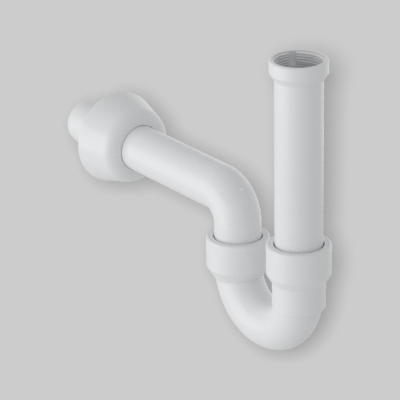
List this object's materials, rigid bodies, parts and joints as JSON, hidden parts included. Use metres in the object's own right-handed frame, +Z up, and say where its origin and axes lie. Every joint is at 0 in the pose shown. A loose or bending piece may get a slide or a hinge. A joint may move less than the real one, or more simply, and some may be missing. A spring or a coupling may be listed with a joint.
{
  "type": "basin trap",
  "caption": "White tubular P-trap for a washbasin: threaded inlet pipe, U-bend with push-fit sockets, swivelling outlet bend and a domed wall rosette.",
  "frame": {"origin": "centre of the inlet collar's mouth, in the plane of its rim", "axes": "+Z up along the inlet pipe, +Y along the outlet pipe towards the wall, X sideways"},
  "size_m": [0.0812, 0.3339, 0.2662],
  "materials": {
    "white_plastic": "satin white polypropylene",
    "gasket_rubber": "matt grey rubber",
    "seal_rubber": "matt black rubber"
  },
  "bodies": {
    "inlet": {"inlet_pipe": "white_plastic", "inlet_gasket": "gasket_rubber"},
    "inlet_lip": {"inlet_seal": "seal_rubber"},
    "trap": {"trap_bend": "white_plastic", "inlet_retaining_ring": "white_plastic", "outlet_retaining_ring": "white_plastic"},
    "outlet_lip": {"outlet_seal": "seal_rubber"},
    "outlet": {"outlet_bend": "white_plastic"},
    "rosette": {"wall_rosette": "white_plastic"}
  },
  "joints": [
    {"name": "height_slide", "type": "slide", "parent": "inlet", "child": "inlet_lip", "axis": [0, 0, 1], "range_m": [-0.015, 0.013]},
    {"name": "inlet_swivel", "type": "hinge", "parent": "inlet_lip", "child": "trap", "pos_m": [0, 0, -0.168], "axis": [0, 0, 1], "continuous": true},
    {"name": "outlet_swivel", "type": "hinge", "parent": "trap", "child": "outlet_lip", "pos_m": [0, 0.0822, -0.188], "axis": [0, 0, 1], "range_deg": [-120, 120]},
    {"name": "outlet_slide", "type": "slide", "parent": "outlet_lip", "child": "outlet", "axis": [0, 0, 1], "range_m": [0, 0.008]},
    {"name": "rosette_slide", "type": "slide", "parent": "outlet", "child": "rosette", "axis": [0, 1, 0], "range_m": [-0.1, 0.045]}
  ]
}
